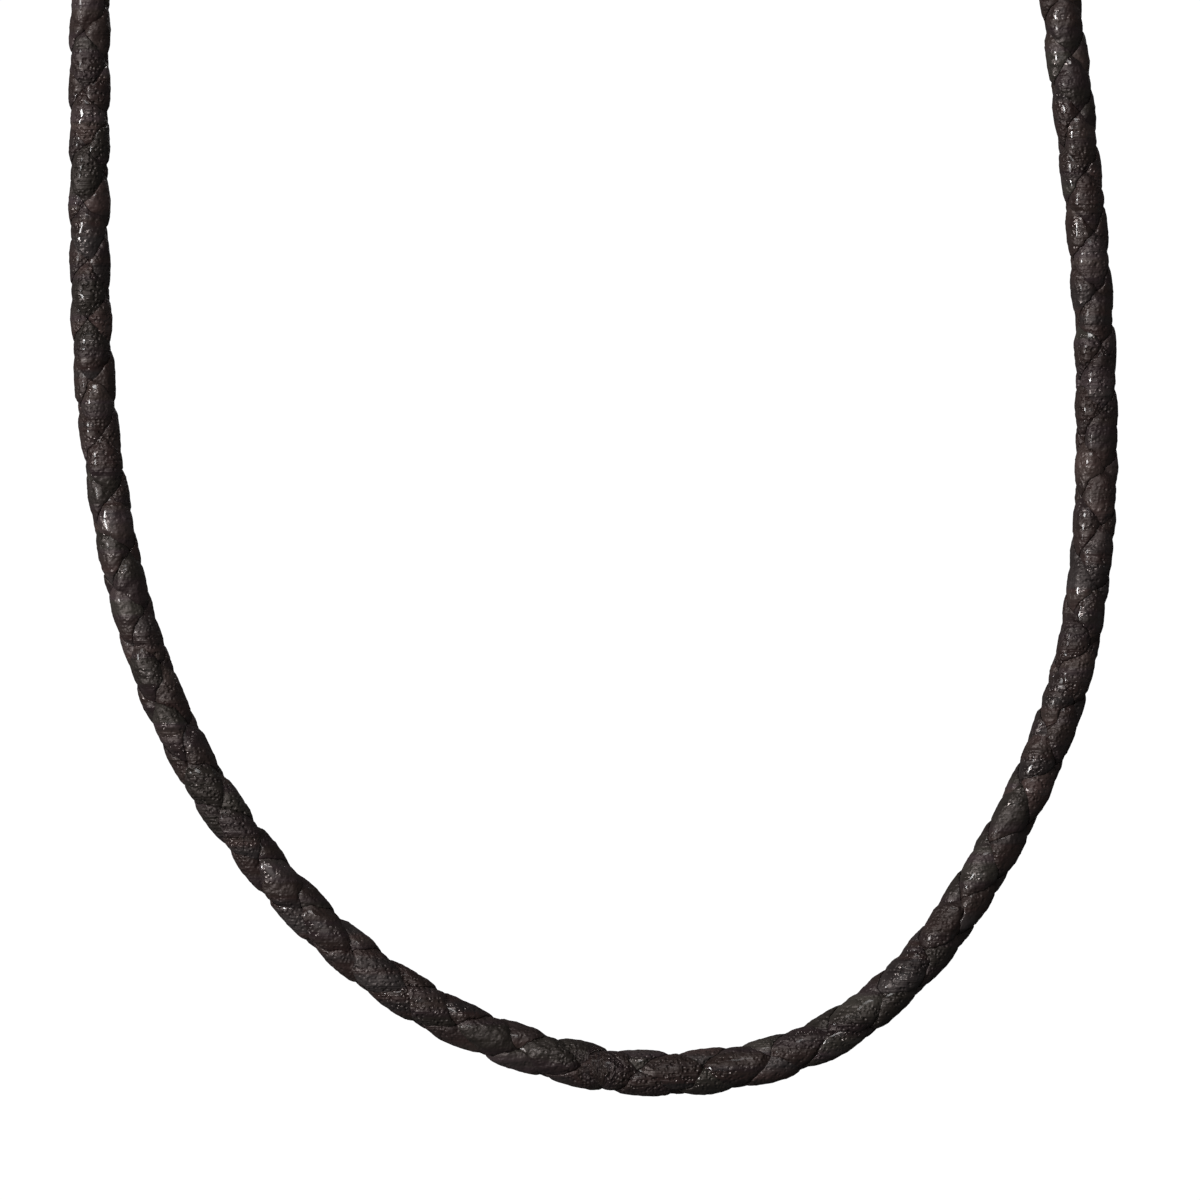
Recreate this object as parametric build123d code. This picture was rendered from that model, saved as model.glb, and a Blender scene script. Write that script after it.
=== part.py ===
from build123d import *

import os

import numpy as np

# A braided leather cord necklace: four flat laces plaited round each other into one
# round cord, worn as a loop whose two ends are seated in a plain barrel clasp.
# The loop hangs in the XZ plane with its front towards -Y. The origin is at the nape,
# on the underside of the clasp, where the necklace hangs. Lengths are millimetres.

# Cord
CORD_DIAMETER = 4.04  # across the tops of two opposite laces
LAY_LENGTH = 11.4  # one full turn of a lace round the cord, measured along the cord
LACE_CLEARANCE = 0.12  # between laces where one crosses the other
LACES_EACH_WAY = 2  # laces that turn right-handed, and as many left-handed
SECTIONS_PER_CROSSING = 2
FIRST_TURN = 58.0  # how far round the plait has come at the cord's first end, degrees

# Barrel clasp
CLASP_DIAMETER = 6.0
CLASP_LENGTH = 20.0
CLASP_EDGE_RADIUS = 0.8
SEAT_DEPTH = 8.0  # depth of each blind bore that holds a cord end
BORE_CLEARANCE = 0.1  # on the radius, round the cord
SEAT_CLEARANCE = 0.2  # between the cord's end and the bottom of its bore

# A lace's section, corner by corner from one rim round to the other and back. Each
# corner's place across the lace is in degrees round the cord, and its height is a share
# of the cord's radius: first where the lace lies over its neighbour, then where it
# passes under. The clearance sign says which way half the clearance moves the corner.
SECTION_COLUMNS = ("over_across", "over_radius", "under_across", "under_radius", "clearance_sign")
SECTION_ROWS = [
    (-42.7, 0.980, -29.8, 0.228, 0),
    (-19.8, 0.500, -18.8, 0.098, 1),
    (19.8, 0.500, 18.8, 0.098, 1),
    (42.7, 0.980, 29.8, 0.228, 0),
    (19.8, 1.000, 18.8, 0.390, -1),
    (-19.8, 1.000, -18.8, 0.390, -1),
]

# Route of the cord from the left mouth of the clasp, down the left side, along the
# bottom and up the right side to the right mouth, as x and z from the clasp's axis.
ROUTE_POINTS = [
    (-22.0, -3.2),
    (-32.6, -11.4),
    (-40.6, -24.4),
    (-45.0, -40.6),
    (-46.8, -58.8),
    (-47.1, -80.0),
    (-47.2, -97.0),
    (-46.8, -113.8),
    (-44.8, -129.6),
    (-41.3, -142.6),
    (-35.9, -153.6),
    (-28.1, -163.7),
    (-18.8, -171.8),
    (-7.6, -177.4),
    (3.2, -179.8),
    (12.4, -179.5),
    (20.9, -176.8),
    (27.9, -171.8),
    (33.6, -165.0),
    (38.8, -156.2),
    (43.0, -146.6),
    (45.8, -133.6),
    (46.5, -118.6),
    (45.8, -103.6),
    (44.2, -89.0),
    (42.3, -73.5),
    (40.4, -57.5),
    (38.0, -39.5),
    (34.6, -24.5),
    (28.4, -11.0),
    (19.4, -2.4),
]
ROUTE_STEP = 0.25  # spacing of the points that the route is measured with

# How the plait changes along the cord: share of the cord's length, then its lay and
# its diameter as shares of the named ones, and how far it is rolled, in degrees.
PLAIT_COLUMNS = ("along", "lay", "girth", "roll")
PLAIT_ROWS = [
    (0.00, 1.00, 0.97, 14.0),
    (0.22, 0.94, 0.96, 14.0),
    (0.30, 0.94, 0.95, 6.0),
    (0.32, 0.96, 0.95, -10.0),
    (0.41, 1.04, 1.02, -92.0),
    (0.43, 1.06, 1.05, -98.0),
    (0.51, 1.04, 1.06, -104.0),
    (0.57, 1.07, 1.03, -118.0),
    (0.65, 0.97, 1.00, -135.0),
    (0.71, 0.96, 0.98, -166.0),
    (1.00, 1.00, 0.97, -172.0),
]


def plait(share):
    """Lay length, diameter share and roll at a share of the cord's length."""
    columns = dict(zip(PLAIT_COLUMNS, zip(*PLAIT_ROWS)))
    lay = np.interp(share, columns["along"], columns["lay"]) * LAY_LENGTH
    girth = np.interp(share, columns["along"], columns["girth"])
    roll = np.radians(np.interp(share, columns["along"], columns["roll"]))
    return lay, girth, roll


def smooth_line(points, start_way, end_way):
    """Cubic spline through the points, leaving and arriving in the two given ways."""
    points = np.array(points, float)
    knots = np.concatenate([[0.0], np.cumsum(np.hypot(*np.diff(points, axis=0).T))])
    gaps = np.diff(knots)
    slopes = np.diff(points, axis=0) / gaps[:, None]
    count = len(points)
    matrix = np.eye(count)
    target = np.zeros((count, 2))
    target[0] = start_way
    target[-1] = end_way
    for i in range(1, count - 1):
        matrix[i, i - 1] = gaps[i]
        matrix[i, i] = 2 * (gaps[i - 1] + gaps[i])
        matrix[i, i + 1] = gaps[i - 1]
        target[i] = 3 * (gaps[i] * slopes[i - 1] + gaps[i - 1] * slopes[i])
    ways = np.linalg.solve(matrix, target)
    at = np.linspace(0.0, knots[-1], int(knots[-1] / ROUTE_STEP) + 1)
    span = np.clip(np.searchsorted(knots, at, side="right") - 1, 0, count - 2)
    width = gaps[span][:, None]
    t = (at - knots[span])[:, None] / width
    near = (2 * t**3 - 3 * t**2 + 1) * points[span] + (t**3 - 2 * t**2 + t) * ways[span] * width
    far = (3 * t**2 - 2 * t**3) * points[span + 1] + (t**3 - t**2) * ways[span + 1] * width
    return near + far


def cord_line():
    """Points of the cord's middle line, from the bottom of one bore to the other's."""
    mouth = CLASP_LENGTH / 2
    seated = SEAT_DEPTH - SEAT_CLEARANCE
    points = [(-mouth, 0.0), *ROUTE_POINTS, (mouth, 0.0)]
    free = smooth_line(points, (-1.0, 0.0), (-1.0, 0.0))
    line = np.vstack([(seated - mouth, 0.0), free, (mouth - seated, 0.0)])
    return line + (0.0, CLASP_DIAMETER / 2)


class Cord:
    """The cord's middle line, with the plait's turn measured along it."""

    def __init__(self, line):
        self.line = line
        steps = np.hypot(*np.diff(line, axis=0).T)
        self.along = np.concatenate([[0.0], np.cumsum(steps)])
        self.length = self.along[-1]
        lay = plait(self.along / self.length)[0]
        turns = steps * 2 * np.pi * 2 / (lay[1:] + lay[:-1])
        self.turn = np.radians(FIRST_TURN) + np.concatenate([[0.0], np.cumsum(turns)])

    def middle(self, along):
        """The middle line's x and z at a distance along the cord."""
        return np.array([np.interp(along, self.along, self.line[:, k]) for k in (0, 1)])

    def place(self, turn, angle, radius):
        """The point at a turn of the plait, an angle round the cord and a radius."""
        along = np.interp(turn, self.turn, self.along)
        ahead = self.middle(min(along + ROUTE_STEP, self.length))
        behind = self.middle(max(along - ROUTE_STEP, 0.0))
        way = (ahead - behind) / np.hypot(*(ahead - behind))
        outward = np.array([way[1], -way[0]])
        girth, roll = plait(along / self.length)[1:]
        x, z = self.middle(along) + outward * radius * girth * np.cos(angle + roll)
        return Vector(x, radius * girth * np.sin(angle + roll), z)


def section_corners(state):
    """A lace's section as pairs: radians across it and radius from the cord's axis."""
    corners = []
    for values in SECTION_ROWS:
        row = dict(zip(SECTION_COLUMNS, values))
        radius = row[state + "_radius"] * CORD_DIAMETER / 2
        radius += row["clearance_sign"] * LACE_CLEARANCE / 2
        corners.append((np.radians(row[state + "_across"]), radius))
    return corners


def lace(cord, hand, start_angle):
    """One lace of the plait as a closed solid of flat faces."""
    quarter = np.pi / 2
    step = quarter / SECTIONS_PER_CROSSING
    sections = {state: section_corners(state) for state in ("over", "under")}
    first = int(np.ceil((cord.turn[0] + quarter / 2) / step - 0.5))
    last = int(np.floor((cord.turn[-1] + quarter / 2) / step - 0.5))
    rings = []
    for i in range(first, last + 1):
        turn = (i + 0.5) * step - quarter / 2
        state = "over" if hand * np.cos(2 * turn) > 0 else "under"
        ring = []
        for across, radius in sections[state]:
            angle = hand * (turn + across) + start_angle
            ring.append(cord.place(turn - across, angle, radius))
        rings.append(ring)
    return closed_solid(rings)


def closed_solid(rings):
    """Joins rings of corners with triangles and closes both ends."""
    sides = len(rings[0])
    faces = []
    for near, far in zip(rings, rings[1:]):
        for j in range(sides):
            k = (j + 1) % sides
            faces.append((near[j], near[k], far[k]))
            faces.append((near[j], far[k], far[j]))
    for j in range(1, sides - 1):
        faces.append((rings[0][0], rings[0][j + 1], rings[0][j]))
        faces.append((rings[-1][0], rings[-1][j], rings[-1][j + 1]))
    return Solid(Shell([Face(Wire.make_polygon(corners)) for corners in faces]))


def barrel_clasp():
    """A plain barrel with a blind bore in each end for the cord."""
    bore_radius = CORD_DIAMETER / 2 + BORE_CLEARANCE
    barrel = Cylinder(CLASP_DIAMETER / 2, CLASP_LENGTH)
    barrel = fillet(barrel.edges().filter_by(GeomType.CIRCLE), CLASP_EDGE_RADIUS)
    for side in (-1, 1):
        bore = Cylinder(bore_radius, SEAT_DEPTH)
        barrel -= Pos(0, 0, side * (CLASP_LENGTH - SEAT_DEPTH) / 2) * bore
    return Pos(0, 0, CLASP_DIAMETER / 2) * Rot(0, 90, 0) * barrel


def build():
    """All pieces of the necklace by name."""
    cord = Cord(cord_line())
    print("cord", round(float(cord.length), 1), "mm long,", end=" ")
    print(round((cord.turn[-1] - cord.turn[0]) / (2 * np.pi), 1), "turns of the plait")
    parts = {"barrel_clasp": barrel_clasp()}
    for hand, side in ((1, "right"), (-1, "left")):
        for k in range(LACES_EACH_WAY):
            start_angle = 2 * np.pi * k / LACES_EACH_WAY
            parts[f"lace_{side}_{k + 1}"] = lace(cord, hand, start_angle)
    return parts


os.makedirs("parts", exist_ok=True)
for name, solid in build().items():
    print(name, "volume", round(solid.volume, 1), "mm3, faces", len(solid.faces()))
    export_step(solid, f"parts/{name}.step")
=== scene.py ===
# %% [markdown]
# # A braided leather cord necklace
#
# Four flat leather laces are plaited into one round cord, and the cord's two ends are
# seated in a barrel clasp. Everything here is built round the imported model, which is
# loaded first and never moved: it says where each lace and the clasp are.

import math

import bmesh
import bpy
import numpy as np
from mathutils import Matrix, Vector


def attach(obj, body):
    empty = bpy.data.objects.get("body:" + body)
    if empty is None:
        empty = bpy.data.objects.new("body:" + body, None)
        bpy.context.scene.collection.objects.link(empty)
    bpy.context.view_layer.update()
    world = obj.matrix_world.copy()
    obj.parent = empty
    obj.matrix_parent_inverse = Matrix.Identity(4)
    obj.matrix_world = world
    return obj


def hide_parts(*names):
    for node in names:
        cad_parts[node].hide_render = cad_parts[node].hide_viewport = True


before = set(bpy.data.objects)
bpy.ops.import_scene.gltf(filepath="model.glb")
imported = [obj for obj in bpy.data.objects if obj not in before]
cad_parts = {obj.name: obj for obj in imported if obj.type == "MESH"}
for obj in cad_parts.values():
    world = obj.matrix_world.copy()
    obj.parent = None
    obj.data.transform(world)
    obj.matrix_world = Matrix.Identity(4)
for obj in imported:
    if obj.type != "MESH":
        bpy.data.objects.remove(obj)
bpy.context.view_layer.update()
print("packed nodes:", sorted(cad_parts))

# %% [markdown]
# ## The camera
#
# The necklace hangs in front of a white ground and is seen straight from the front. A long
# lens from far away keeps the two legs parallel to the picture, so the camera's distance
# and the width of the picture give the lens, and nothing has to be tried out.

# %% The camera
PICTURE_CENTRE = Vector((0.0003, 0.0, -0.1329))
PICTURE_WIDTH = 0.1116
CAMERA_DISTANCE = 0.9
CAMERA_REACH = 20.0

camera = bpy.data.objects.new("camera", bpy.data.cameras.new("camera"))
camera.data.lens = camera.data.sensor_width * CAMERA_DISTANCE / PICTURE_WIDTH
camera.data.clip_end = CAMERA_REACH
camera.location = PICTURE_CENTRE + Vector((0.0, -CAMERA_DISTANCE, 0.0))
camera.rotation_euler = (math.radians(90), 0.0, 0.0)
bpy.context.collection.objects.link(camera)
bpy.context.scene.camera = camera
print("lens:", round(camera.data.lens), "mm")

# %% [markdown]
# ## Node trees as sums
#
# A pattern or a shape that follows a rule is easier to read as a sum than as a picture of
# boxes and wires. `Term` wraps one socket, so that Python's own operators add the Math or
# Vector Math nodes, and `Net.add` makes every other node: its settings first, because
# some of them change the sockets, and then the values or links of its sockets.

# %% Sockets that can be added and multiplied
class Term:
    """One socket of a node tree, on which Python's operators work."""

    def __init__(self, net, socket):
        self.net = net
        self.socket = socket

    def __add__(self, other):
        return self.net.maths("ADD", self, other)

    def __radd__(self, other):
        return self.net.maths("ADD", other, self)

    def __sub__(self, other):
        return self.net.maths("SUBTRACT", self, other)

    def __rsub__(self, other):
        return self.net.maths("SUBTRACT", other, self)

    def __mul__(self, other):
        return self.net.maths("MULTIPLY", self, other)

    def __rmul__(self, other):
        return self.net.maths("MULTIPLY", other, self)

    def __truediv__(self, other):
        return self.net.maths("DIVIDE", self, other)

    def __rtruediv__(self, other):
        return self.net.maths("DIVIDE", other, self)

    def __pow__(self, other):
        return self.net.maths("POWER", self, other)


class Net:
    """A node tree that is written as Python expressions."""

    def __init__(self, tree):
        self.tree = tree
        self.tree.nodes.clear()

    def plug(self, socket, value):
        """Links a term to a socket, or sets the socket to a plain value."""
        if isinstance(value, Term):
            self.tree.links.new(value.socket, socket)
        elif socket.type == "VECTOR" and isinstance(value, (int, float)):
            socket.default_value = (value, value, value)
        else:
            socket.default_value = value

    def add(self, kind, settings=None, values=None, out=0):
        """Makes any node and gives the term of one of its outputs."""
        node = self.tree.nodes.new(kind)
        settings = dict(settings or {})
        stops = settings.pop("stops", None)
        for name, value in settings.items():
            setattr(node, name, value)
        if stops:
            ramp = node.color_ramp.elements
            while len(ramp) < len(stops):
                ramp.new(1.0)
            for element, (position, colour) in zip(ramp, stops):
                element.position = position
                element.color = colour
        for key, value in (values or {}).items():
            self.plug(node.inputs[key], value)
        return Term(self, node.outputs[out]) if node.outputs else node

    def maths(self, operation, *terms):
        """A Math node, or a Vector Math node where a vector goes in."""
        vector = any(isinstance(t, Term) and t.socket.type == "VECTOR" for t in terms)
        kind = "ShaderNodeVectorMath" if vector else "ShaderNodeMath"
        return self.add(kind, {"operation": operation}, dict(enumerate(terms)))

    def xyz(self, vector):
        """The three numbers of a vector."""
        node = self.tree.nodes.new("ShaderNodeSeparateXYZ")
        self.plug(node.inputs[0], vector)
        return [Term(self, output) for output in node.outputs]

    def combine(self, x, y, z):
        """A vector made of three numbers."""
        return self.add("ShaderNodeCombineXYZ", None, {0: x, 1: y, 2: z})

    def noise(self, place, size, detail=2.0, roughness=0.5):
        """Noise whose lumps are about one size across, from 0 to 1."""
        return self.add("ShaderNodeTexNoise", None, {
            "Vector": place, "Scale": 1.0 / size, "Detail": detail, "Roughness": roughness})

    def graded(self, value, low, high, start=0.0, end=1.0):
        """Goes from start to end while the value goes from low to high, and no further."""
        return self.add("ShaderNodeMapRange", {"clamp": True}, {
            "Value": value, "From Min": low, "From Max": high, "To Min": start, "To Max": end})

    def principled(self, values):
        """Ends a material's tree with one Principled shader."""
        shader = self.add("ShaderNodeBsdfPrincipled", None, values)
        self.add("ShaderNodeOutputMaterial", None, {"Surface": shader})


def blank_material(name):
    """A new material, and the net of its empty node tree."""
    material = bpy.data.materials.new(name)
    material.use_nodes = True
    return material, Net(material.node_tree)


# %% [markdown]
# ## Where the cord runs
#
# The cord's middle line is a smooth curve through a few points: straight out of the
# clasp, down the left side, along the bottom and back up. A plait is measured by its
# turn, the angle that a lace has gone round the cord. So the line is cut into points at
# equal steps of turn, and each point keeps what the plait needs to know there: which way
# is outward, how far the plait is rolled, and how thick it is.

# %% The cord's sizes and its route
CORD_RADIUS = 0.00206  # 0.04 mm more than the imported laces, whose tops are flat
LAY_LENGTH = 0.0114
FIRST_TURN = math.radians(58.0)
CLASP_RADIUS = 0.003
CLASP_LENGTH = 0.020
SEAT_LENGTH = 0.0078
ROUTE_STEP = 0.00025

ROUTE_POINTS = [
    (-0.0220, -0.0032),
    (-0.0326, -0.0114),
    (-0.0406, -0.0244),
    (-0.0450, -0.0406),
    (-0.0468, -0.0588),
    (-0.0471, -0.0800),
    (-0.0472, -0.0970),
    (-0.0468, -0.1138),
    (-0.0448, -0.1296),
    (-0.0413, -0.1426),
    (-0.0359, -0.1536),
    (-0.0281, -0.1637),
    (-0.0188, -0.1718),
    (-0.0076, -0.1774),
    (0.0032, -0.1798),
    (0.0124, -0.1795),
    (0.0209, -0.1768),
    (0.0279, -0.1718),
    (0.0336, -0.1650),
    (0.0388, -0.1562),
    (0.0430, -0.1466),
    (0.0458, -0.1336),
    (0.0465, -0.1186),
    (0.0458, -0.1036),
    (0.0442, -0.0890),
    (0.0423, -0.0735),
    (0.0404, -0.0575),
    (0.0380, -0.0395),
    (0.0346, -0.0245),
    (0.0284, -0.0110),
    (0.0194, -0.0024),
]

# How the plait changes along the cord: share of its length, then its lay and its
# thickness as shares of the named ones, and its roll in degrees.
PLAIT_ROWS = [
    (0.00, 1.00, 0.97, 14.0),
    (0.22, 0.94, 0.96, 14.0),
    (0.30, 0.94, 0.95, 6.0),
    (0.32, 0.96, 0.95, -10.0),
    (0.41, 1.04, 1.02, -92.0),
    (0.43, 1.06, 1.05, -98.0),
    (0.51, 1.04, 1.06, -104.0),
    (0.57, 1.07, 1.03, -118.0),
    (0.65, 0.97, 1.00, -135.0),
    (0.71, 0.96, 0.98, -166.0),
    (1.00, 1.00, 0.97, -172.0),
]


def smooth_line(points, start_way, end_way):
    """Cubic spline through the points, leaving and arriving in the two given ways."""
    points = np.array(points, float)
    knots = np.concatenate([[0.0], np.cumsum(np.hypot(*np.diff(points, axis=0).T))])
    gaps = np.diff(knots)
    slopes = np.diff(points, axis=0) / gaps[:, None]
    count = len(points)
    matrix = np.eye(count)
    target = np.zeros((count, 2))
    target[0] = start_way
    target[-1] = end_way
    for i in range(1, count - 1):
        matrix[i, i - 1] = gaps[i]
        matrix[i, i] = 2 * (gaps[i - 1] + gaps[i])
        matrix[i, i + 1] = gaps[i - 1]
        target[i] = 3 * (gaps[i] * slopes[i - 1] + gaps[i - 1] * slopes[i])
    ways = np.linalg.solve(matrix, target)
    at = np.linspace(0.0, knots[-1], int(knots[-1] / ROUTE_STEP) + 1)
    span = np.clip(np.searchsorted(knots, at, side="right") - 1, 0, count - 2)
    width = gaps[span][:, None]
    t = (at - knots[span])[:, None] / width
    near = (2 * t**3 - 3 * t**2 + 1) * points[span] + (t**3 - 2 * t**2 + t) * ways[span] * width
    far = (3 * t**2 - 2 * t**3) * points[span + 1] + (t**3 - t**2) * ways[span + 1] * width
    return near + far


mouth = CLASP_LENGTH / 2
free_line = smooth_line([(-mouth, 0.0), *ROUTE_POINTS, (mouth, 0.0)], (-1.0, 0.0), (-1.0, 0.0))
cord_line = np.vstack([(SEAT_LENGTH - mouth, 0.0), free_line, (mouth - SEAT_LENGTH, 0.0)])
cord_line = cord_line + (0.0, CLASP_RADIUS)
steps = np.hypot(*np.diff(cord_line, axis=0).T)
cord_along = np.concatenate([[0.0], np.cumsum(steps)])
cord_length = cord_along[-1]
print("cord:", round(cord_length * 1000, 1), "mm")

# %% The middle line in equal steps of turn
RINGS_PER_TURN = 72

plait_share, plait_lay, plait_girth, plait_roll = np.array(PLAIT_ROWS).T
lay_here = np.interp(cord_along / cord_length, plait_share, plait_lay) * LAY_LENGTH
turns = steps * 4 * np.pi / (lay_here[1:] + lay_here[:-1])
cord_turn = FIRST_TURN + np.concatenate([[0.0], np.cumsum(turns)])
last_turn = cord_turn[-1]
ring_count = int((last_turn - FIRST_TURN) / (2 * np.pi) * RINGS_PER_TURN)


def middle_points(along):
    """The middle line's x and z at distances along the cord."""
    return [np.interp(along, cord_along, cord_line[:, k]) for k in (0, 1)]


def middle_line():
    """The cord's middle line as a mesh of points, with the plait's roll and girth."""
    turn = np.linspace(FIRST_TURN, last_turn, ring_count + 1)
    along = np.interp(turn, cord_turn, cord_along)
    x, z = middle_points(along)
    way = np.subtract(middle_points(along + ROUTE_STEP), middle_points(along - ROUTE_STEP))
    way /= np.hypot(*way)
    flat = np.zeros(len(turn))
    mesh = bpy.data.meshes.new("cord_middle")
    mesh.from_pydata(np.column_stack([x, flat, z]).tolist(), [], [])
    outward = np.column_stack([way[1], flat, -way[0]])
    mesh.attributes.new("outward", "FLOAT_VECTOR", "POINT").data.foreach_set("vector", outward.ravel())
    share = along / cord_length
    for name, column in (("girth", plait_girth), ("roll", np.radians(plait_roll))):
        values = np.interp(share, plait_share, column)
        mesh.attributes.new(name, "FLOAT", "POINT").data.foreach_set("value", values)
    return mesh


print("turns of the plait:", round((last_turn - FIRST_TURN) / (2 * np.pi), 1), "rings:", ring_count)

# %% [markdown]
# ## The laces
#
# In a round plait of four, two laces turn one way and two the other, and each goes over
# one and under the next. Modelled by hand, such laces always end up cutting through each
# other. This rule keeps them apart: a lace's height above the cord's middle is the sum of
# two waves, one along the lace and one across it, and where it crosses its neighbour the
# two waves change places. So the underside of one is exactly the top of the other.
#
# Geometry Nodes make a lace from a long cylinder: the angle of each of its points becomes
# a place across the lace, and its height a turn of the plait. Noise that depends only on
# the place in the cord pushes all four laces together, so they stay apart however uneven
# the leather is. A mesh has flat faces, which cut a little inside the true curves, so the
# wave across a lace is made a shade lower: that leaves some play between the laces.

# %% The sizes of the plait
# Each input of the node tree: its name, its kind and its value. Hand is 1 for a lace that
# turns right-handed and -1 for one that turns left-handed. Angles are in radians.
LACE_INPUTS = (
    ("Hand", "NodeSocketFloat", 1.0),
    ("Start Angle", "NodeSocketFloat", 0.0),
    ("First Turn", "NodeSocketFloat", FIRST_TURN),
    ("Last Turn", "NodeSocketFloat", float(last_turn)),
    ("Rings", "NodeSocketInt", ring_count),
    ("Points Round", "NodeSocketInt", 32),  # round the section of one lace
    ("Cord Radius", "NodeSocketFloat", CORD_RADIUS),
    ("Lay Length", "NodeSocketFloat", LAY_LENGTH),
    ("Half Width", "NodeSocketFloat", math.radians(89.7)),  # of the wave across a lace
    ("Width Change", "NodeSocketFloat", math.radians(4.0)),  # how much narrower it gets
    ("Squareness", "NodeSocketFloat", 1.3),  # higher is flatter on top
    ("Play", "NodeSocketFloat", 0.04),  # share of the wave that is given up
    ("Edge Lift", "NodeSocketFloat", 0.45),  # how full the rims stay on top
    ("Relief", "NodeSocketFloat", 0.5),  # lower is more tightly pulled
    ("Drift", "NodeSocketFloat", math.radians(34.0)),  # how far the plait wanders
    ("Raggedness", "NodeSocketFloat", math.radians(10.0)),  # how uneven its edges are
    ("Swell", "NodeSocketFloat", 0.09),  # share by which the cord gets thicker or thinner
    ("Creases", "NodeSocketFloat", 0.06),  # the same over short stretches
    ("Seed", "NodeSocketFloat", 3.0),
    ("Material", "NodeSocketMaterial", None),
)
RIM_CROWDING = 0.7  # lower puts more of a lace's points near its rims
RIM_BLUNTNESS = 8.0
NARROWING_RATE = 0.9  # how often a lace gets narrower, for each radian of turn
DRIFT_SIZE = 0.0035
RAGGED_SIZE = 0.0008
LACE_STRETCH = 1.4  # a lace runs at a slant, so it is longer than the cord
print("inputs of the plait's tree:", len(LACE_INPUTS))

# %% The rule of the plait as a node tree
def lace_tree():
    """Geometry Nodes that turn the cord's middle line into one lace of the plait."""
    tree = bpy.data.node_groups.new("plaited_lace", "GeometryNodeTree")
    tree.interface.new_socket("Geometry", in_out="INPUT", socket_type="NodeSocketGeometry")
    for name, kind, value in LACE_INPUTS:
        socket = tree.interface.new_socket(name, in_out="INPUT", socket_type=kind)
        if value is not None:
            socket.default_value = value
    tree.interface.new_socket("Geometry", in_out="OUTPUT", socket_type="NodeSocketGeometry")
    net = Net(tree)
    given = tree.nodes.new("NodeGroupInput")
    take = {name: Term(net, given.outputs[name]) for name, *_ in LACE_INPUTS}
    route = Term(net, given.outputs["Geometry"])

    # A cylinder one unit high: its height is the place along the lace
    tube = net.add("GeometryNodeMeshCylinder", {"fill_type": "NGON"}, {
        "Vertices": take["Points Round"], "Side Segments": take["Rings"], "Radius": 1.0, "Depth": 1.0})
    x, y, z = net.xyz(net.add("GeometryNodeInputPosition"))
    round_section = net.maths("ARCTAN2", y, x)
    cosine = net.maths("COSINE", round_section)
    across = net.maths("SIGN", cosine) * net.maths("ABSOLUTE", cosine) ** RIM_CROWDING
    is_top = net.maths("GREATER_THAN", net.maths("SINE", round_section), 0.0)
    first, last = take["First Turn"], take["Last Turn"]
    lace_turn = first + (z + 0.5) * (last - first)

    # Each lace reads a part of its own from the noise that makes it narrower
    lace_part = take["Start Angle"] * 7.0 + take["Hand"] * 3.0
    strand = net.combine(lace_turn * NARROWING_RATE, lace_part, take["Seed"])
    narrowing = net.noise(strand, 1.0, 1.0)
    double_across = across * (take["Half Width"] - take["Width Change"] * narrowing)

    # The two waves, and the height of this point above the cord's middle
    def wave(angle):
        crest = net.maths("COSINE", angle) * take["Squareness"]
        return net.maths("TANH", crest) / net.maths("TANH", take["Squareness"])

    out_to_rim = net.maths("ABSOLUTE", across) ** RIM_BLUNTNESS
    rim = net.maths("SQRT", net.maths("MAXIMUM", 1.0 - out_to_rim, 0.0))
    along_wave = take["Hand"] * wave(lace_turn * 2.0)
    across_wave = wave(double_across) * (1.0 - take["Play"])
    # Where the lace lies on top it keeps more of its thickness right out to its rims
    on_top = net.maths("MAXIMUM", along_wave, 0.0) * take["Edge Lift"]
    upper = (across_wave + (1.0 - across_wave) * on_top) * rim
    lower = across_wave * rim * -1.0
    share = (2.0 + along_wave + lower + (upper - lower) * is_top) / 4.0

    # Pulled tight, the laces fill their hollows: one rule for all of them
    share = net.maths("MAXIMUM", share, 0.0001) ** take["Relief"]
    height = share * take["Cord Radius"]

    # Where the point would be in a perfect plait
    angle = take["Hand"] * (lace_turn + double_across / 2.0) + take["Start Angle"]
    turn = lace_turn - double_across / 2.0

    # Unevenness that all the laces share
    pitch = take["Lay Length"] / (2 * math.pi)
    spot = net.combine(net.maths("COSINE", angle) * take["Cord Radius"],
                       net.maths("SINE", angle) * take["Cord Radius"], turn * pitch)

    def three_noises(size, detail):
        colour = net.add("ShaderNodeTexNoise", {"noise_dimensions": "4D"}, {
            "Vector": spot, "W": take["Seed"], "Scale": 1.0 / size, "Detail": detail,
            "Roughness": 0.6}, out="Color")
        return [2.0 * channel - 1.0 for channel in net.xyz(colour)]

    drift_angle, drift_turn, swell = three_noises(DRIFT_SIZE, 1.0)
    ragged_angle, ragged_turn, crease = three_noises(RAGGED_SIZE, 2.0)
    angle = angle + drift_angle * take["Drift"] + ragged_angle * take["Raggedness"]
    turn = turn + drift_turn * take["Drift"] + ragged_turn * take["Raggedness"]
    height = height * (1.0 + swell * take["Swell"] + crease * take["Creases"])

    # Onto the cord's real middle line, between two of its points and never past the last
    step = (last - first) / take["Rings"]
    place = net.maths("MINIMUM", net.maths("MAXIMUM", (turn - first) / step, 0.0), take["Rings"] - 0.001)
    before = net.maths("FLOOR", place)
    part = place - before

    def on_route(value, kind):
        near, far = (
            net.add("GeometryNodeSampleIndex", {"data_type": kind, "clamp": True},
                    {"Geometry": route, "Value": value, "Index": before + k}) for k in (0.0, 1.0))
        return near + (far - near) * part

    def kept(name, kind):
        stored = net.add("GeometryNodeInputNamedAttribute", {"data_type": kind}, {"Name": name})
        return on_route(stored, kind)

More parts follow.
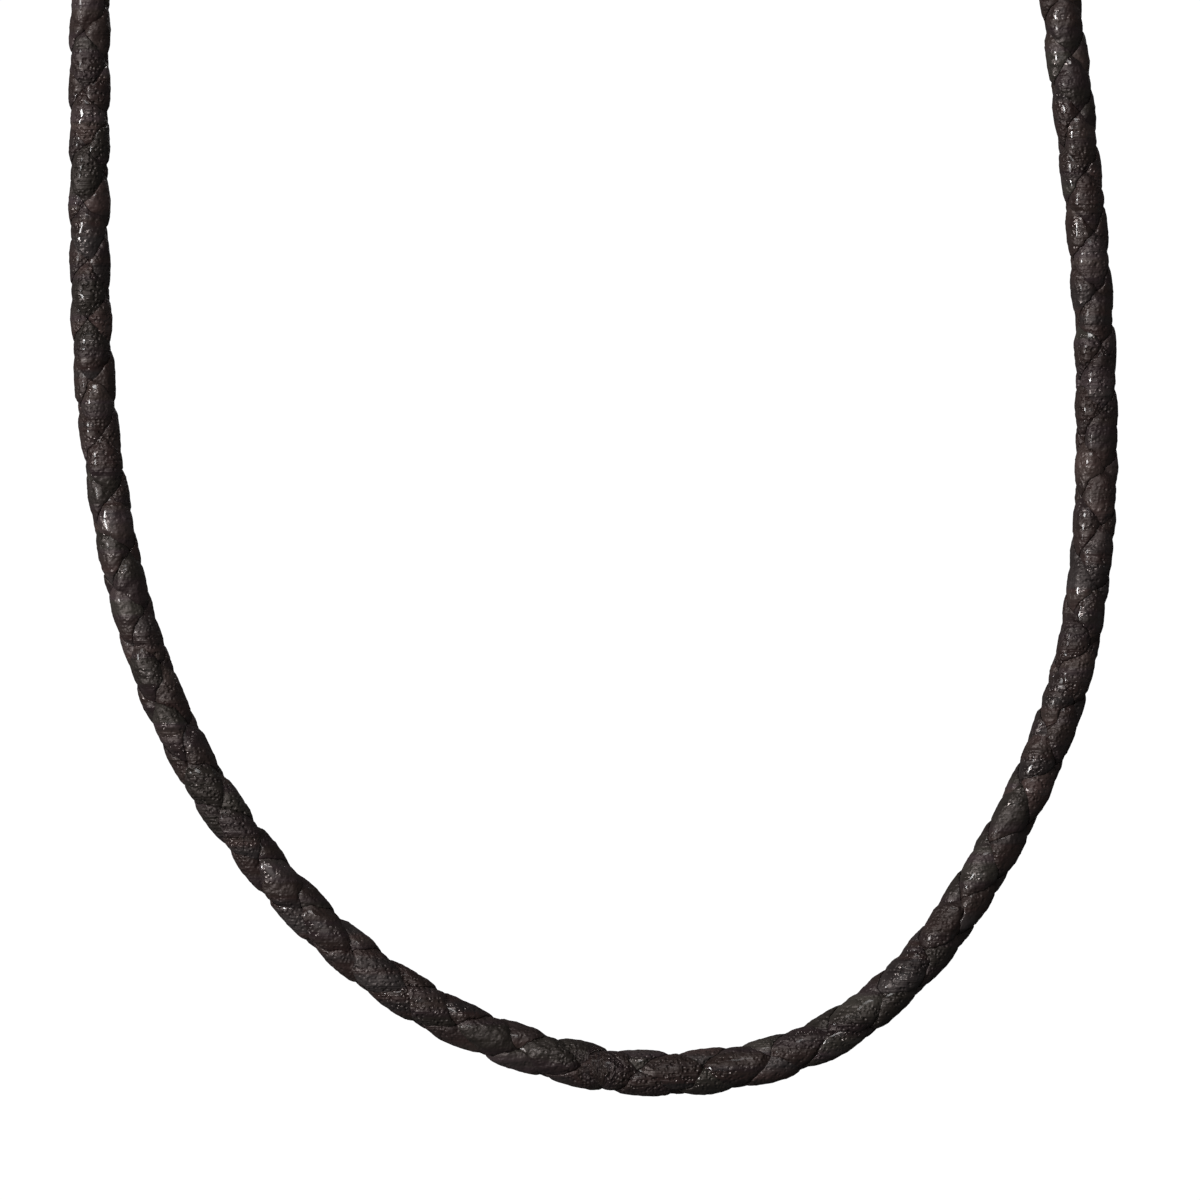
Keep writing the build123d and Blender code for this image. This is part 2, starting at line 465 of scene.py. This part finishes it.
    middle = on_route(net.add("GeometryNodeInputPosition"), "FLOAT_VECTOR")
    outward = kept("outward", "FLOAT_VECTOR")
    girth = kept("girth", "FLOAT")
    rolled = angle + kept("roll", "FLOAT")
    reach = height * girth
    sideways = net.combine(0.0, reach * net.maths("SINE", rolled), 0.0)
    moved = middle + outward * (reach * net.maths("COSINE", rolled)) + sideways
    shape = net.add("GeometryNodeSetPosition", None, {"Geometry": tube, "Position": moved})

    # What the leather's pattern follows: across the lace, along it, and the height
    own_place = take["Start Angle"] + take["Hand"]
    strip = net.combine(across * take["Cord Radius"], lace_turn * pitch * LACE_STRETCH, own_place)
    shape = net.add("GeometryNodeStoreNamedAttribute", {"data_type": "FLOAT_VECTOR", "domain": "POINT"},
                    {"Geometry": shape, "Name": "strip_place", "Value": strip})
    shape = net.add("GeometryNodeStoreNamedAttribute", {"data_type": "FLOAT", "domain": "POINT"},
                    {"Geometry": shape, "Name": "height_share", "Value": height / take["Cord Radius"]})
    # The rule turns a right-handed lace inside out
    right_handed = net.add("FunctionNodeCompare", {"data_type": "FLOAT", "operation": "GREATER_THAN"},
                           {"A": take["Hand"], "B": 0.0})
    shape = net.add("GeometryNodeFlipFaces", None, {"Mesh": shape, "Selection": right_handed})
    shape = net.add("GeometryNodeSetShadeSmooth", None, {"Geometry": shape})
    shape = net.add("GeometryNodeRealizeInstances", None, {"Geometry": shape})
    shape = net.add("GeometryNodeSetMaterial", None, {"Geometry": shape, "Material": take["Material"]})
    net.add("NodeGroupOutput", None, {"Geometry": shape})
    return tree


# %% [markdown]
# ## Leather
#
# Waxed leather this dark shows little of its own colour. What the eye reads is the shine:
# a broad satin one, and small bright points where a spot of wax has stayed on the grain.
# So the wax is a pattern of its own, small spots in loose groups, which makes the leather
# smoother and coats it. Seen at a slant the shine is duller, or a light from the far side
# would break up the cord's outline. The colour is five browns in soft patches along each
# lace, from olive and mauve to red and grey, with painted shade that darkens it down
# between the laces. The bump is grain that runs along each lace, pores and low lumps,
# stronger where the cord is worn.

# %% The leather's material
PATCH_SIZE = 0.0022
GRAIN_SIZE = 0.00026
PORE_SIZE = 0.0004
LUMP_SIZE = 0.0010
WORN_SIZE = 0.010
WAX_SPOT_SIZE = 0.0003
WAX_GROUP_SIZE = 0.0014
RELIEF_HEIGHT = 0.00023
BARE_ROUGHNESS = 0.5
WAXED_ROUGHNESS = 0.14
SLANT_ROUGHNESS = 0.9

# Along the noise that picks them: olive, mauve, the main brown, red brown and grey
BROWNS = [
    (0.38, (0.0325, 0.0292, 0.0240, 1.0)),
    (0.44, (0.0385, 0.0265, 0.0295, 1.0)),
    (0.50, (0.0405, 0.0290, 0.0245, 1.0)),
    (0.56, (0.0480, 0.0298, 0.0270, 1.0)),
    (0.62, (0.0335, 0.0284, 0.0280, 1.0)),
]


def leather():
    """Very dark brown waxed leather, for a surface with strip_place and height_share."""
    material, net = blank_material("waxed_leather")
    object_place = net.add("ShaderNodeTexCoord", out="Object")
    strip = net.add("ShaderNodeAttribute", {"attribute_name": "strip_place"}, out="Vector")
    height = net.add("ShaderNodeAttribute", {"attribute_name": "height_share"}, out="Fac")

    # Colour: patches drawn out along the lace, with painted shade that makes it darker and a little
    # redder in the hollows.
    # The Mix node has sockets for numbers and vectors too, so its colours are 6 and 7.
    patches = net.add("ShaderNodeValToRGB", {"stops": BROWNS},
                      {"Fac": net.noise(strip * (1.0, 0.7, 1.0), PATCH_SIZE, 3.0)})
    # Painted shade: the colour gets darker where the lace lies low, down between the laces, and the wax
    # coat is thinner there too.
    hollow_shade = net.graded(height, 0.80, 0.97, 0.35, 1.3)
    colour = net.add("ShaderNodeMix", {"data_type": "RGBA", "blend_type": "MULTIPLY"},
                     {"Factor": 1.0, 6: patches, 7: net.combine(hollow_shade ** 0.88, hollow_shade, hollow_shade)}, out=2)

    # Relief: grain and pores, which wear brings out, and lumps
    grain = net.noise(strip * (1.0, 0.4, 1.0), GRAIN_SIZE, 3.0, 0.65)
    pores = net.add("ShaderNodeTexVoronoi", {"feature": "F1"},
                    {"Vector": object_place, "Scale": 1.0 / PORE_SIZE})
    lumps = net.noise(object_place, LUMP_SIZE)
    wear = net.graded(net.noise(object_place, WORN_SIZE, 1.0), 0.42, 0.58, 0.5, 1.9)
    relief = (grain * 1.1 + net.maths("MINIMUM", pores, 0.5) * 0.8) * wear + lumps * 1.2
    bump = net.add("ShaderNodeBump", None, {"Strength": 1.0, "Distance": RELIEF_HEIGHT, "Height": relief})

    # Wax: spots in groups, where the leather is seen head on
    spots = net.graded(net.noise(strip, WAX_SPOT_SIZE), 0.46, 0.57)
    groups = net.graded(net.noise(strip * (1.0, 0.6, 1.0), WAX_GROUP_SIZE, 1.0), 0.44, 0.56, 0.25)
    slant = net.add("ShaderNodeLayerWeight", None, {"Blend": 0.5}, out="Facing")
    head_on = net.graded(slant, 0.3, 0.6, 1.0, 0.0)
    wax = spots * groups * head_on
    unwaxed = SLANT_ROUGHNESS - (SLANT_ROUGHNESS - BARE_ROUGHNESS) * head_on
    net.principled({
        "Base Color": colour,
        "Roughness": unwaxed - (BARE_ROUGHNESS - WAXED_ROUGHNESS) * wax,
        "Specular IOR Level": 0.33,
        "Specular Tint": (1.0, 0.88, 0.84, 1.0),
        "Normal": bump,
        "Coat Weight": net.maths("MINIMUM", wax * hollow_shade, 1.0),
        "Coat Roughness": 0.08,
    })
    return material


leather_material = leather()
print("nodes in the leather:", len(leather_material.node_tree.nodes))

# %% [markdown]
# ## Four laces from one tree
#
# The laces differ in two inputs only: the way they turn, and the angle that they start
# from, half a turn apart for the two of one hand. Each is made on a mesh of the middle
# line's points, and is then turned into a plain mesh, which leaves the nodes behind.

# %% The four laces
lace_nodes = lace_tree()


def lace(node, hand, start_angle):
    """One lace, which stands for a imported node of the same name."""
    piece = bpy.data.objects.new("leather_" + node, middle_line())
    bpy.context.collection.objects.link(piece)
    modifier = piece.modifiers.new("plait", "NODES")
    modifier.node_group = lace_nodes
    values = {name: value for name, _, value in LACE_INPUTS}
    values.update({"Hand": float(hand), "Start Angle": start_angle, "Material": leather_material})
    for socket in lace_nodes.interface.items_tree:
        if socket.name in values:
            modifier[socket.identifier] = values[socket.name]
    depsgraph = bpy.context.evaluated_depsgraph_get()
    made = bpy.data.meshes.new_from_object(piece.evaluated_get(depsgraph), depsgraph=depsgraph)
    piece.modifiers.clear()
    piece.data = made
    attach(piece, "root")
    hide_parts(node)
    triangles = sum(len(face.vertices) - 2 for face in made.polygons)
    print(piece.name, "points:", len(made.vertices), "triangles:", triangles)


for hand, side in ((1, "right"), (-1, "left")):
    for k in (0, 1):
        lace(f"lace_{side}_{k + 1}", hand, k * math.pi)

# %% [markdown]
# ## The clasp
#
# A barrel clasp is turned on a lathe, so it is a profile spun round an axis: along the
# barrel, round its softened edges, and down into the two blind bores that hold the cord.

# %% Polished steel
TURNING_RINGS = (6000.0, 120.0, 120.0)  # to the metre, so they are close along the barrel
RING_HEIGHT = 0.00002
SMEAR_SIZE = 0.0025
STEELS = [(0.3, (0.52, 0.51, 0.49, 1.0)), (0.7, (0.64, 0.63, 0.61, 1.0))]


def steel():
    """Polished steel with the faint rings that turning leaves."""
    material, net = blank_material("polished_steel")
    place = net.add("ShaderNodeTexCoord", out="Object")
    rings = net.noise(place * TURNING_RINGS, 1.0)
    smears = net.noise(place, SMEAR_SIZE, 3.0)
    colour = net.add("ShaderNodeValToRGB", {"stops": STEELS}, {"Fac": smears})
    bump = net.add("ShaderNodeBump", None, {"Strength": 0.12, "Distance": RING_HEIGHT, "Height": rings})
    net.principled({
        "Base Color": colour,
        "Metallic": 1.0,
        "Roughness": 0.16 + 0.14 * smears,
        "Normal": bump,
    })
    return material


steel_material = steel()
print("nodes in the steel:", len(steel_material.node_tree.nodes))

# %% The barrel
BORE_RADIUS = 0.00212
SEAT_DEPTH = 0.008
EDGE_RADIUS = 0.0008
EDGE_STEPS = 6
TURNED_SIDES = 96


def placed(mesh, name, material):
    """Turns a bmesh into an object in one material."""
    data = bpy.data.meshes.new(name)
    mesh.to_mesh(data)
    mesh.free()
    data.materials.append(material)
    piece = bpy.data.objects.new(name, data)
    bpy.context.collection.objects.link(piece)
    return piece


def barrel_profile():
    """Half of the barrel's outline, as distances along its axis and from it."""
    half = CLASP_LENGTH / 2
    edge = half - EDGE_RADIUS
    rounded = []
    for k in range(EDGE_STEPS + 1):
        t = math.pi / 2 * k / EDGE_STEPS
        rounded.append((edge + EDGE_RADIUS * math.sin(t), CLASP_RADIUS - EDGE_RADIUS * (1 - math.cos(t))))
    return [(0.0, CLASP_RADIUS), *rounded, (half, BORE_RADIUS), (half - SEAT_DEPTH, BORE_RADIUS)]


def barrel():
    """The clasp's barrel, spun round its axis."""
    right = barrel_profile()
    outline = [(-x, r) for x, r in reversed(right)] + right[1:]
    mesh = bmesh.new()
    rings = []
    angles = [2 * math.pi * k / TURNED_SIDES for k in range(TURNED_SIDES)]
    for x, radius in outline:
        round_points = [(x, radius * math.cos(a), CLASP_RADIUS + radius * math.sin(a)) for a in angles]
        rings.append([mesh.verts.new(point) for point in round_points])
    for near, far in zip(rings, rings[1:]):
        for k in range(TURNED_SIDES):
            n = (k + 1) % TURNED_SIDES
            mesh.faces.new((near[k], near[n], far[n], far[k]))
    mesh.faces.new(rings[0])
    mesh.faces.new(rings[-1])
    bmesh.ops.recalc_face_normals(mesh, faces=mesh.faces)
    for face in mesh.faces:
        face.smooth = len(face.verts) == 4
    piece = placed(mesh, "clasp_barrel", steel_material)
    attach(piece, "root")
    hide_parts("barrel_clasp")
    return piece


clasp = barrel()
print("barrel faces:", len(clasp.data.polygons))

# %% [markdown]
# ## The floor
#
# The floor is a pale disc well below the necklace, which shows only when one looks down
# on it. A wide light of its own keeps it even, and neither of the two lights the cord:
# the floor's bounce is switched off, and its lamp is below the cord and faces away.

# %% The floor and its lamp
FLOOR_HEIGHT = -0.9
FLOOR_RADIUS = 2.4
FLOOR_SIDES = 128
FLOOR_COLOUR = (0.86, 0.86, 0.85, 1.0)
FLOOR_LAMP_RISE = 0.3
FLOOR_LAMP_WIDTH = 3 * FLOOR_RADIUS
FLOOR_LAMP_POWER = 85.0


def floor():
    """A plain pale disc under the necklace."""
    material, net = blank_material("pale_floor")
    net.principled({"Base Color": FLOOR_COLOUR, "Roughness": 0.7})
    mesh = bmesh.new()
    bmesh.ops.create_circle(mesh, cap_ends=True, segments=FLOOR_SIDES, radius=FLOOR_RADIUS)
    bmesh.ops.translate(mesh, verts=mesh.verts, vec=(0.0, 0.0, FLOOR_HEIGHT))
    piece = placed(mesh, "floor", material)
    piece.visible_diffuse = False
    piece.visible_glossy = False


def floor_lamp():
    """A round lamp close above the floor, which shines down on it."""
    data = bpy.data.lights.new("floor_light", "AREA")
    data.shape = "DISK"
    data.size = FLOOR_LAMP_WIDTH
    data.energy = FLOOR_LAMP_POWER
    lamp = bpy.data.objects.new("floor_light", data)
    lamp.location = (0.0, 0.0, FLOOR_HEIGHT + FLOOR_LAMP_RISE)
    bpy.context.collection.objects.link(lamp)


floor()
floor_lamp()
print("floor:", FLOOR_HEIGHT, "m high and", 2 * FLOOR_RADIUS, "m wide")

# %% [markdown]
# ## Light
#
# A glossy dark thing is lit by what it mirrors. A small softbox at the left gives the
# bright points, one above them and a wide one at the front give the satin. The ground is
# white to the camera only: if the cord mirrored it, every edge would glow. For the same
# reason the cord doesn't mirror the softbox behind it, and only the clasp gets a narrow
# light from there.

# %% Softboxes and the white ground
CORD_SPOT = Vector((0.0, 0.0, -0.11))
CLASP_SPOT = Vector((0.0, 0.0, 0.0))
WIDE_BEAM = math.radians(60.0)
NARROW_BEAM = math.radians(14.0)
GROUND_GLOW = 0.11  # what the necklace gets from the ground
GROUND_SEEN = 1.05  # what the camera gets from it


def softbox(name, place, width, height, power, mirrored=True, target=CORD_SPOT, beam=WIDE_BEAM):
    """A rectangular light that faces a spot of the necklace, which can mirror it or not."""
    data = bpy.data.lights.new(name, "AREA")
    data.shape = "RECTANGLE"
    data.size = width
    data.size_y = height
    data.spread = beam
    data.energy = power
    lamp = bpy.data.objects.new(name, data)
    lamp.visible_glossy = mirrored
    lamp.location = place
    lamp.rotation_euler = (target - lamp.location).to_track_quat("-Z", "Y").to_euler()
    bpy.context.collection.objects.link(lamp)
    print(name, "at", place, power, "W")


softbox("softbox_key", (-0.68, -0.56, -0.03), 0.14, 0.3, 0.88)
softbox("softbox_top", (-0.15, -0.70, 0.4), 0.4, 0.15, 0.32)
softbox("softbox_fill", (-0.3, -1.1, 0.2), 1.2, 1.0, 0.63)
softbox("softbox_back", (0.1, 1.0, 0.3), 1.2, 0.8, 4.5, mirrored=False)
softbox("softbox_clasp", (0.2, 0.5, 0.35), 0.2, 0.1, 0.08, target=CLASP_SPOT, beam=NARROW_BEAM)

scene = bpy.context.scene
scene.view_settings.view_transform = "Standard"
scene.world = bpy.data.worlds.new("white_ground")
scene.world.use_nodes = True
world = Net(scene.world.node_tree)
seen = world.add("ShaderNodeLightPath", out="Is Camera Ray")
strength = GROUND_GLOW + (GROUND_SEEN - GROUND_GLOW) * seen
ground = world.add("ShaderNodeBackground", None, {"Color": (1.0, 1.0, 1.0, 1.0), "Strength": strength})
world.add("ShaderNodeOutputWorld", None, {"Surface": ground})
